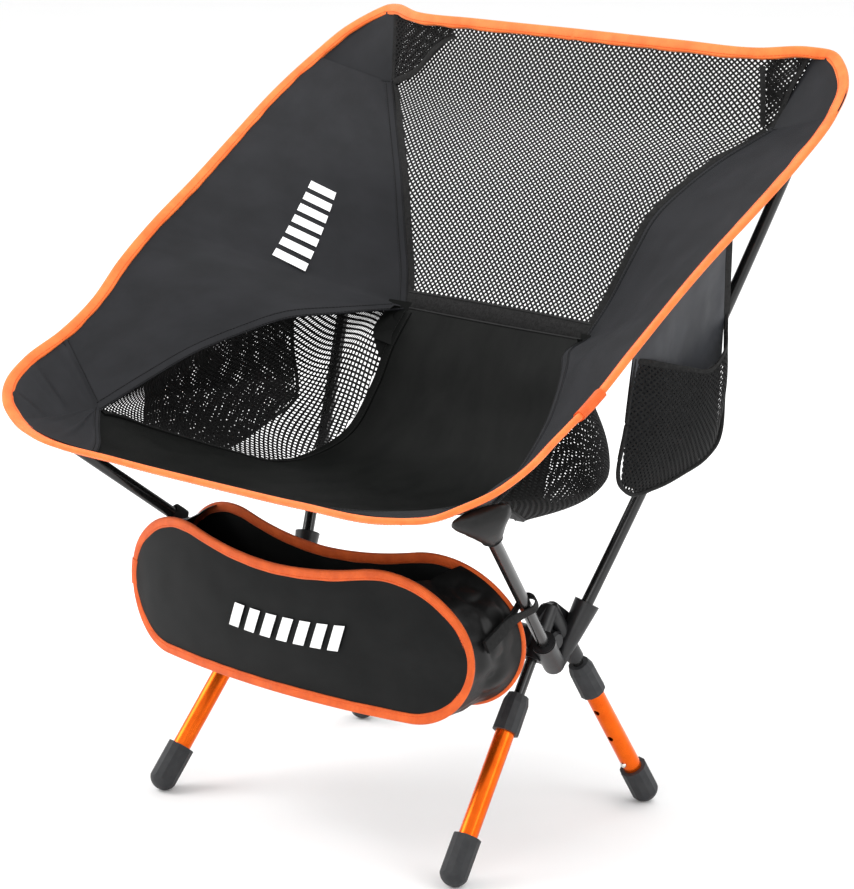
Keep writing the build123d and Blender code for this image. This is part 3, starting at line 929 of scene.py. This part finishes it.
# a second layer of mesh behind each rear corner, wider on the sitter's right
rearNetRows = {
    "Left": [
        ((211, 223, 597), (223, 229, 599)), ((208, 226, 630), (237, 246, 634)),
        ((204, 230, 658), (248, 258, 658)),
    ],
    "Right": [
        ((213, 223, 597), (223, 229, 599)), ((187, 221, 608), (231, 238, 616)),
        ((158, 224, 636), (238, 247, 636)), ((144, 229, 656), (248, 258, 658)),
    ],
}
for side, rows in rearNetRows.items():
    turn = 1 if side == "Left" else -1
    rails = makeRails([[(x * turn, y, z) for x, y, z in row] for row in rows])

    def rearNetWidth(s):
        inner, outer = railsAt(rails, s)
        return (outer - inner).length

    def rearNetPlace(s, x):
        inner, outer = railsAt(rails, s)
        return inner.lerp(outer, x / rearNetWidth(s) + 0.5)

    piece = makeNet("rearCornerNet" + side, rearNetPlace, rails["length"], rearNetWidth, 3.2, 1.8)
    settle(piece, "net", "frame", "mesh_cloth")
    bandPoints = [Vector((x * turn, y - 3.5, z + 1)) for (x, y, z), outer in rows]
    bandPoints[-1].z -= 10          # it ends short of the binding
    path = evenly(bandPoints, 4)
    band = makeRibbon(
        "rearCornerBand" + side, path, [Vector((turn, 0.3, 0))] * len(path),
        tapeProfile(5 if turn > 0 else 8, 0.9),
    )
    settle(band, "webbing", "frame", "webbing")
print("corners made")

# binding round the whole edge
edgeInner = [
    (0, 212, 632), (118, 212, 632), (190, 214, 632), (221, 228, 632), (222, 228, 620),
    (225, 228, 615), (222, 224, 606), (217.6, 220.8, 595), (184.5, 189, 567.6), (145, 153, 520),
    (125.3, 136, 468.8), (112, 100, 414), (158, 15, 412), (200, -58, 387), (228, -156, 344.5),
    (231, -180, 346), (232, -195, 347), (233, -205, 347), (232, -205, 347), (200, -215, 333),
    (103, -215, 323), (0, -215, 322),
]
binding = {
    "width": 10.5, "stitchAt": 8.4, "stitchLift": 2.42,
    "profile": [
        (10.5, 1.5), (9.8, 2.3), (6, 2.6), (2.2, 2.6), (0.4, 1.8), (-0.3, 0), (0.4, -1.8),
        (2.2, -2.6), (6, -2.6), (9.8, -2.3), (10.5, -1.5),
    ],
}


# the whole edge and, for each of its points, the way to the cloth
def edgeLine(step):
    count = int(edgeKnots[-1] / step)
    places = [edgeKnots[-1] * n / count for n in range(count + 1)]
    inner = [Vector(p) for p in edgeInner]
    half = [smoothAt(halfLine, edgeKnots, t) for t in places]
    ways = [smoothAt(inner, edgeKnots, t) - p for t, p in zip(places, half)]
    line = half + mirrored(half[1:-1])[::-1]
    inward = ways + mirrored(ways[1:-1])[::-1]
    return line, inward


edge, edgeWays = edgeLine(4)
bindingPiece = makeRibbon(
    "edgeBinding", edge, edgeWays, binding["profile"], closed=True, wander=0.12
)
settle(bindingPiece, "tape", "frame", "tape", "edge_binding")
edgeThreads = [
    makeStitches("edgeStitch", edge + edge[:1], edgeWays + edgeWays[:1], binding["stitchAt"], lift)
    for lift in (binding["stitchLift"], -binding["stitchLift"])
]
settle(joinPieces("edgeStitches", edgeThreads), "orangeThread", "frame", "tape")

# the tape's ends meet under a short sleeve on the sitter's left
first = next(n for n, p in enumerate(edge) if p.x > 280 and p.y < -96 and p.z < 440)
jointProfile = [(a * 1.1 if a > 5 else a - 1.6, b * 1.55) for a, b in binding["profile"]]
piece = makeRibbon(
    "bindingJoint", edge[first:first + 8], edgeWays[first:first + 8], jointProfile
)
settle(piece, "bagTape", "frame", "tape")
print("binding made")


# points and directions on a surface, offset millimetres in from its inner rail
def seamPath(place, start, end, offset, step=4):
    count = max(int(abs(end - start) / step), 2)
    line, ways = [], []
    for n in range(count + 1):
        s = start + (end - start) * n / count
        rim, further = place(s, 0), place(s, 1)
        way = (further - rim).normalized()
        line.append(rim + way * offset)
        ways.append(way)
    return line, ways


# a flat strip on each side's seam, with a stitched row near each of its edges
def bothHem(name, line, ways, width, thickness, material, stitch=None, slot="wing_cloth"):
    for side, path, towards in bothSides(line, ways):
        strip = makeRibbon(name + side, path, towards, tapeProfile(width, thickness))
        settle(strip, material, "frame", slot)
        if stitch:
            rows = [
                makeStitches(name + side + "Stitch", path, towards, offset, level * thickness / 2)
                for offset in (width / 2 - 1.3, 1.3 - width / 2)
                for level in (1, -1)
            ]
            settle(joinPieces(name + "Stitches" + side, rows), stitch, "frame", slot)


wingCorner = wing["knots"][7]
wingTip = wing["knots"][13]
hem = {"width": 9, "thickness": 2.4}
line, ways = seamPath(wingPlace, wingCorner, wingTip, hem["width"] / 2)
bothHem("windowTopHem", line, ways, hem["width"], hem["thickness"], "wing", stitch="blackThread")
line, ways = seamPath(wingPlace, 0, wingCorner, 4)
bothHem("wingBackHem", line, ways, 8, 2.4, "wing", stitch="blackThread")


def seatSidePlace(s, v):
    middle, side = railsAt(seat, s)
    return seatPlace(s, side.x * (1 - v))


windowStart, windowEnd = seat["knots"][3], seat["length"] - 2
line, ways = seamPath(seatSidePlace, windowStart, windowEnd, hem["width"] / 2)
bothHem(
    "windowLowHem", line, ways, hem["width"], 2.4, "seat", stitch="blackThread", slot="seat_cloth"
)


def backSidePlace(s, v):
    side = railsAt(back, s)[1]
    return backPlace(s, side.x * (1 - v))


cornerAt = back["knots"][7]
line, ways = seamPath(backSidePlace, 0, cornerAt, 3.5)
bothHem("backSideWebbing", line, ways, 8.5, 1.6, "webbing", slot="webbing")
line, ways = seamPath(backSidePlace, cornerAt, back["length"] - 4, 1.5)
bothHem("backCornerSeam", line, ways, 5, 1.6, "webbing", slot="webbing")

# the wide band between the back mesh and the seat
backStrip = {"middle": 8.5, "width": 19, "thickness": 2.0, "pipings": {"Top": 16.5, "Low": 0.5}}
spots = range(-106, 107, 4)
bandWays = [backPlace(20, x) - backPlace(0, x) for x in spots]
band = makeRibbon(
    "backBand", [backPlace(backStrip["middle"], x) for x in spots], bandWays,
    tapeProfile(backStrip["width"], backStrip["thickness"]),
)
settle(band, "webbing", "frame", "webbing")
for side, at in backStrip["pipings"].items():
    line = [backPlace(at, x) for x in spots]
    piping = makeRibbon("bandPiping" + side, line, bandWays, roundProfile(1.3))
    settle(piping, "blackThread", "frame", "webbing")

# corner patch hems
cornerHems = [
    {"name": "frontPatchWingHem", "on": frontPatchPoint, "next": 0.12, "last": 26, "size": (7, 3.0)},
    {"name": "seatCornerHem", "on": seatCornerPoint, "next": 0.3, "last": 24, "size": (6, 2.6)},
    {"name": "rearPatchHem", "on": rearPatchPoint, "next": 0.1, "last": 26, "size": (7, 3.2)},
]
for one in cornerHems:
    place, shares = one["on"], [n / one["last"] for n in range(25)]
    line = [place(0, v) for v in shares]
    ways = [place(one["next"], v) - place(0, v) for v in shares]
    bothHem(one["name"], line, ways, *one["size"], "wing", stitch="blackThread")
print("seams made")


# sleeves that take the pole ends
def makeLoft(name, rings):
    points = [p for ring in rings for p in ring]
    size = len(rings[0])
    maps = [(n * 0.005, k * 0.003) for n in range(len(rings)) for k in range(size)]
    faces = []
    for n in range(len(rings) - 1):
        for k in range(size):
            m = (k + 1) % size
            faces.append((n * size + k, n * size + m, (n + 1) * size + m, (n + 1) * size + k))
    faces.append(tuple((len(rings) - 1) * size + k for k in range(size)))
    loft = meshObject(name, points, faces, maps)
    editAll(loft, lambda: bpy.ops.mesh.normals_make_consistent(inside=False))
    return loft


# each ring: distance along the pole, half width, half height
sleeves = {
    "front": {
        "origin": Vector((153.1, 14.7, 148.5)),
        "way": Vector((0.3425, -0.7055, 0.6205)).normalized(),
        "wide": Vector((-0.76, -0.53, -0.42)), "mouth": (290.5, 7.9, 7.7), "finish": "glossy",
        "rings": [
            (290, 7.6, 7.4), (293, 8.8, 8.2), (298, 10.5, 8.8), (306, 14, 9.6), (314, 18, 10),
            (322, 21.5, 9.6), (329, 23, 8), (334, 22, 5.5), (337, 17, 3),
        ],
    },
    "rear": {
        "origin": Vector((252, 254.5, 637.5)), "way": Vector((0.26, 0.40, 0.88)).normalized(),
        "wide": Vector((1, -0.8, 0)), "mouth": (-31.5, 7.9, 7.7), "finish": "wing",
        "rings": [
            (-32, 7.6, 7.4), (-29, 8.8, 7.8), (-20, 9.8, 7.8), (-8, 11, 8), (0, 11.5, 7.4),
            (6, 10.5, 6.4), (11, 9, 4.5), (13, 5, 2.5),
        ],
    },
}
sleeveAround = 28       # points round a sleeve


def sleeveRings(sleeve, rings):
    way, wide = sleeve["way"], sleeve["wide"]
    across = (wide - way * way.dot(wide)).normalized()
    other = way.cross(across)
    made = []
    for at, halfWidth, halfHeight in rings:
        ring = []
        for k in range(sleeveAround):
            turn = 2 * math.pi * k / sleeveAround
            spot = Vector((math.cos(turn) * 2, math.sin(turn) * 2, at * 0.06))
            crumple = 1 + 0.16 * noise.noise(spot)
            ring.append(
                sleeve["origin"] + way * at
                + across * math.cos(turn) * halfWidth * crumple
                + other * math.sin(turn) * halfHeight * crumple
            )
        made.append(ring)
    return made


for end, sleeve in sleeves.items():
    for piece in makeBothSides(end + "Sleeve", lambda name: makeLoft(
        name, sleeveRings(sleeve, sleeve["rings"]),
    )):
        thicken(piece, 0.8)
        settle(piece, sleeve["finish"], "frame", "wing_cloth", end + "_pole_pockets")
    mouth = sleeveRings(sleeve, [sleeve["mouth"]])[0]
    for side, loop, ways in bothSides(mouth, [sleeve["way"]] * sleeveAround):
        piping = makeRibbon(end + "SleevePiping" + side, loop, ways, roundProfile(1.3), closed=True)
        settle(piping, "webbing", "frame", "webbing")
print("sleeves made")


# rows of bottom, fullest and mouth points make a bellied pouch
def pocketSurface(rows):
    rails = makeRails(rows)

    def place(s, v):
        low, full, high = railsAt(rails, s)
        return low.lerp(high, v) + (full - low.lerp(high, 0.5)) * 4 * v * (1 - v)

    def width(s):
        return max(knotsAlong([place(s, n / 6) for n in range(7)])[-1], 1)

    return rails, place, width


# a bellied net pouch on a flat backing, piped along its outline
def makePocket(name, pocket):
    turn = 1 if pocket["side"] == "left" else -1
    rows = [[(x * turn, y, z) for x, y, z in row] for row in pocket["rows"]]
    backRows = [[(x * turn, y, z) for x, y, z in row] for row in pocket["backing"]]
    rails, place, width = pocketSurface(rows)
    pouch = makeNet(
        name + "Net", lambda s, x: place(s, x / width(s) + 0.5), rails["length"], width, 3.6, 1.7
    )
    settle(pouch, "net", "frame", "mesh_cloth", pocket["node"])
    backing = makeRails(backRows)

    def backPoint(u, v):
        low, high = railsAt(backing, u * backing["length"])
        return low.lerp(high, v)

    if pocket["finish"] == "net":
        def backGap(s):
            low, high = railsAt(backing, s)
            return max((high - low).length, 1)

        sheet = makeNet(
            name + "Backing", lambda s, x: backPoint(s / backing["length"], x / backGap(s) + 0.5),
            backing["length"], backGap, 3.6, 1.5,
        )
    else:
        sheet = makeSheet(
            name + "Backing", backPoint, 50, 50, (120, 160),
            ripple=ripples(34, 2.6, 11.0, (1, 1, 0.4)),
        )
        thicken(sheet, 0.7)
    settle(sheet, pocket["finish"], "frame", "mesh_cloth")
    lip = evenly([row[2] for row in rows], 3)
    under = evenly([Vector(row[2]) * 0.9 + Vector(row[1]) * 0.1 for row in rows], 3)
    hemStrip = makeRibbon(
        name + "Lip", lip, [b - a for a, b in zip(lip, under)] + [under[-1] - lip[-1]] * 9,
        [(a + pocket["lip"] / 2 - 1, b) for a, b in tapeProfile(pocket["lip"], 1.8)],
    )
    settle(hemStrip, "webbing", "frame", "webbing")
    path = evenly([rows[0][2], rows[0][1]] + [row[0] for row in rows] + list(rows[-1][1:]), 3)
    piping = makeRibbon(name + "Piping", path, [Vector((0, 0.2, 1))] * len(path), roundProfile(1.9))
    settle(piping, "webbing", "frame", "webbing")
    rear = evenly([rows[-1][2], backRows[-1][1]], 4)
    strip = makeRibbon(
        name + "RearWebbing", rear, [Vector((0, 1, 0))] * len(rear), tapeProfile(9, 1.6)
    )
    settle(strip, "webbing", "frame", "webbing")


phonePocket = {
    "side": "left", "finish": "satin", "node": "phone_pocket_left", "lip": 5,
    "rows": [
        ((281.5, -64, 349), (282, -58, 400), (282, -49, 451)),
        ((281.5, -52, 340), (291, -40, 396), (289, -30, 446)),
        ((281.5, -20, 338), (297, -8, 392), (296, 2, 437)),
        ((281.5, 20, 343), (299, 26, 392), (299, 30, 431)),
        ((281.5, 50, 350), (296, 54, 398), (295, 57, 446)),
        ((281.5, 64, 358), (285, 69, 405), (284, 71, 468)),
    ],
    "backing": [
        ((281, -62, 350), (283, -52, 455)), ((281, -40, 340), (285, -32, 470)),
        ((281, 20, 344), (286, 20, 500)), ((281, 64, 357), (286, 70, 530)),
    ],
}
makePocket("phonePocket", phonePocket)
meshPocket = {
    "side": "right", "finish": "net", "node": "mesh_pocket_right", "lip": 6,
    "rows": [
        ((259, -66, 288), (262, -66, 340), (263, -66, 384)),
        ((259, -40, 284), (270, -38, 338), (272, -36, 386)),
        ((259, 28, 269), (275, 28, 335), (274, 28, 398)),
        ((259, 90, 285), (272, 88, 345), (272, 86, 412)),
        ((259, 127, 300), (262, 127, 350), (262, 127, 424)),
    ],
    "backing": [
        ((258.5, -66, 290), (268, -66, 438)), ((258.5, -20, 281), (275, -15, 470)),
        ((258.5, 28, 271), (272, 30, 500)), ((258.5, 127, 302), (266, 118, 535)),
    ],
}
makePocket("meshPocket", meshPocket)
print("pockets made")

# carry bag: its outline is three arcs and a straight floor, on a curved plan
bag = {
    "front": -175, "back": -110, "plan": 721, "floor": 141, "mouth": 140,
    "end": (141, 199, 58), "shoulder": (116.5, 178.4, 90), "dip": (-5.8, 708.5, 454),
    "tape": 9.0,
}


def bagCurve(x):
    return bag["plan"] - math.sqrt(bag["plan"] ** 2 - x * x)


def bagHeights(x, inset):
    x = abs(x)
    endX, endZ, endRadius = bag["end"]
    low = bag["floor"] + inset
    if x > endX:
        low = endZ - math.sqrt(max((endRadius - inset) ** 2 - (x - endX) ** 2, 0))
    centreX, centreZ, radius = bag["dip"]
    high = centreZ - math.sqrt((radius + inset) ** 2 - (x - centreX) ** 2)
    if x > 96.3:
        centreX, centreZ, radius = bag["shoulder"]
        high = centreZ + math.sqrt(max((radius - inset) ** 2 - (x - centreX) ** 2, 0))
    if x > endX + (endRadius - inset) * math.cos(math.radians(40)):
        high = endZ + math.sqrt(max((endRadius - inset) ** 2 - (x - endX) ** 2, 0))
    return low, high


# points round the outline, from the middle of the floor, each with its way in
def bagOutline(inset, step=3):
    half = []
    for n in range(int(bag["end"][0] / step) + 1):
        half.append((n * step, bag["floor"] + inset, 0, 1))
    arcs = [(bag["end"], -90, 40, 1), (bag["shoulder"], 40, 103, 1), (bag["dip"], -77, -89, -1)]
    for (x, z, radius), start, end, sign in arcs:
        size = radius - inset * sign
        count = max(int(abs(math.radians(end - start)) * size / step), 3)
        for n in range(1, count + 1):
            angle = math.radians(start + (end - start) * n / count)
            half.append((
                x + size * math.cos(angle), z + size * math.sin(angle),
                -sign * math.cos(angle), -sign * math.sin(angle),
            ))
    other = [(-x, z, -a, b) for x, z, a, b in half[1:]][::-1]
    return half + other


def bagPanelPlace(depth, inset, puff):
    def place(u, v):
        x = (bag["end"][0] + bag["end"][2] - inset) * 0.992 * math.sin((u - 0.5) * math.pi)
        low, high = bagHeights(x, inset)
        swell = puff * math.sin(math.pi * v) * math.cos((u - 0.5) * math.pi) ** 0.5
        return Vector((x, depth + bagCurve(x) - swell, low + (high - low) * v))
    return place


bagPanels = [
    {"name": "bagFrontCloth", "depth": bag["front"] + 0.4, "puff": 2.5, "node": "bag_front_panel"},
    {"name": "bagBackCloth", "depth": bag["back"] - 0.4, "puff": -1.5, "node": "bag_back_panel"},
]
for one in bagPanels:
    piece = makeSheet(
        one["name"], bagPanelPlace(one["depth"], 4, one["puff"]), 110, 40, (385, 115),
        ripple=ripples(60, 1.0, 5.0, (1, 0.4, 0.6)),
    )
    panelArea = pieceArea(piece)
    thicken(piece, 1.0)
    settle(piece, "bagCloth", "bag", "seat_cloth", one["node"])

# the gusset runs from one end of the mouth round the floor to the other
gussetLine = [p for p in bagOutline(2.4, 2.4) if abs(p[0]) >= bag["mouth"] or p[1] <= 200]
gussetLine = [p for p in gussetLine if p[0] < 0] + [p for p in gussetLine if p[0] >= 0]
gussetSize = len(gussetLine) - 1


def gussetPlace(u, v):
    x, z, wayX, wayZ = gussetLine[min(int(u * gussetSize + 0.5), gussetSize)]
    front = bag["front"] + bagCurve(x) + 1.5
    back = bag["back"] + bagCurve(x) - 1.5
    y = front + (back - front) * v
    # slack cloth, creased into folds that run between the two panels and bulge inwards
    slack = math.sin(math.pi * v)
    fold = noise.noise(Vector((x * 0.035, z * 0.035, v * 1.6)))
    crease = abs(noise.noise(Vector((x * 0.06 + 4, z * 0.06, v * 2.4 + 2)))) ** 0.7
    loose = 0.35 + 0.65 * min(abs(x) / 150, 1)
    push = slack * loose * (2.0 + 6.5 * fold + 4.0 * (0.45 - crease))
    push = max(push, -1.5)
    return Vector((x + wayX * push, y, z + wayZ * push))


gusset = makeSheet("bagSideCloth", gussetPlace, gussetSize, 34, (640, 62))
thicken(gusset, 0.8)
settle(gusset, "glossy", "bag", "seat_cloth", "bag_gusset")

bagProfile = [(a * bag["tape"] / binding["width"], b * 0.82) for a, b in binding["profile"]]
bagTapes, bagThreads = [], []
around = bagOutline(0)
for name, depth in (("Front", bag["front"]), ("Back", bag["back"])):
    line = [Vector((x, depth + bagCurve(x), z)) for x, z, a, b in around]
    ways = [Vector((a, 0, b)) for x, z, a, b in around]
    tape = makeRibbon("bagBinding" + name, line, ways, bagProfile, closed=True, wander=0.06)
    bagTapes.append(tape)
    for level in (1.98, -1.98):
        bagThreads.append(makeStitches(
            "bagStitch" + name, line + line[:1], ways + ways[:1], bag["tape"] - 1.9, level,
            pitch=3.0, length=2.0,
        ))
bagTape = joinPieces("bagBindings", bagTapes)
settle(bagTape, "bagTape", "bag", "tape", "bag_bindings")
settle(joinPieces("bagStitches", bagThreads), "orangeThread", "bag", "tape")

# the front tape's ends meet under a short sleeve at the sitter's right
stretch = [p for p in around if p[0] < -190 and 188 < p[1] < 216]
jointLine = [Vector((x, bag["front"] + bagCurve(x), z)) for x, z, a, b in stretch]
jointWays = [Vector((a, 0, b)) for x, z, a, b in stretch]
jointProfile = [(a * 1.04 - 0.5 if a > 5 else a - 0.7, b * 1.3) for a, b in bagProfile]
piece = makeRibbon("bagBindingJoint", jointLine, jointWays, jointProfile)
settle(piece, "bagTape", "bag", "tape")

# a small tab of webbing under the floor
tabLine = [Vector((38, -158 + n, 141.5 - 5 * math.sin(math.pi * n / 14))) for n in range(0, 15, 2)]
piece = makeRibbon("bagTab", tabLine, [Vector((1, 0, 0))] * len(tabLine), tapeProfile(14, 1.4))
settle(piece, "webbing", "bag", "webbing")

# webbing loops: round the pole and back down to the bag's end
strap = {"centre": Vector((204.2, -84.9, 239.4)), "radius": 7.0, "width": 13, "layer": 1.7}
strapToBag = Vector((-5.8, -18.6, -17.9)).normalized()
frontWay = sleeves["front"]["way"]
strapAcross = frontWay.cross(strapToBag).normalized()


def strapRound(degrees):
    angle = math.radians(degrees)
    return strap["centre"] + strap["radius"] * (
        strapToBag * math.cos(angle) + strapAcross * math.sin(angle)
    )


tongue = [Vector((200.6, -134, 212.5)), Vector((200.9, -120, 219.5)), Vector((201, -106, 226.5))]
turn = 1 if strapAcross.x > 0 else -1
half = Vector((strap["layer"] / 2, 0, 0))
strapPoints = [p + half for p in tongue]
strapPoints += [strapRound(turn * angle) for angle in range(52, 312, 26)]
strapPoints += [p - half for p in reversed(tongue)]
strapLine = evenly(strapPoints, 2)
strapTurn = Vector((0, -0.41, 0.91))


def strapWay(point):
    near = min(max(((point - strap["centre"]).length - 12) / 20, 0), 1)
    return (frontWay * (1 - near) + strapTurn * near).normalized()


for side, line, ways in bothSides(strapLine, [strapWay(p) for p in strapLine]):
    piece = makeRibbon("bagStrap" + side, line, ways, tapeProfile(strap["width"], strap["layer"]))
    piece.data.materials.append(materials["webbing"])
    if side == "Left":
        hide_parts("bag_hanging_straps")
    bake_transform(piece)

# a row of plain slanted bars stands in for each printed mark
def makeMark(name, place, count, size, body, slot):
    bars = []
    for n in range(count):
        start = (n + 0.14) / count
        width = 0.62 / count

        def point(u, v, start=start, width=width):
            return place(start + u * width + (v - 0.5) * 0.06, v)

        bars.append(makeSheet(name + str(n), point, 4, 8, size))
    mark = joinPieces(name, bars)
    thicken(mark, 0.2)
    settle(mark, "print", body, slot)


bagFace = bagPanelPlace(bag["front"] - 1.6, 4, 2.9)
makeMark(
    "bagMark", lambda u, v: bagFace(0.42 + 0.22 * u, 0.42 + 0.2 * v), 7, (12, 24),
    "bag", "seat_cloth",
)


def wingMarkPlace(u, v):
    point = wingPlace(wing["length"] * (0.52 - 0.2 * u), 0.40 + 0.14 * v - 0.05 * u)
    return Vector((-point.x, point.y, point.z)) + Vector((0.9, -0.35, 0.55)).normalized() * 2.2


makeMark("wingMark", wingMarkPlace, 7, (12, 24), "frame", "wing_cloth")
print("bag made")
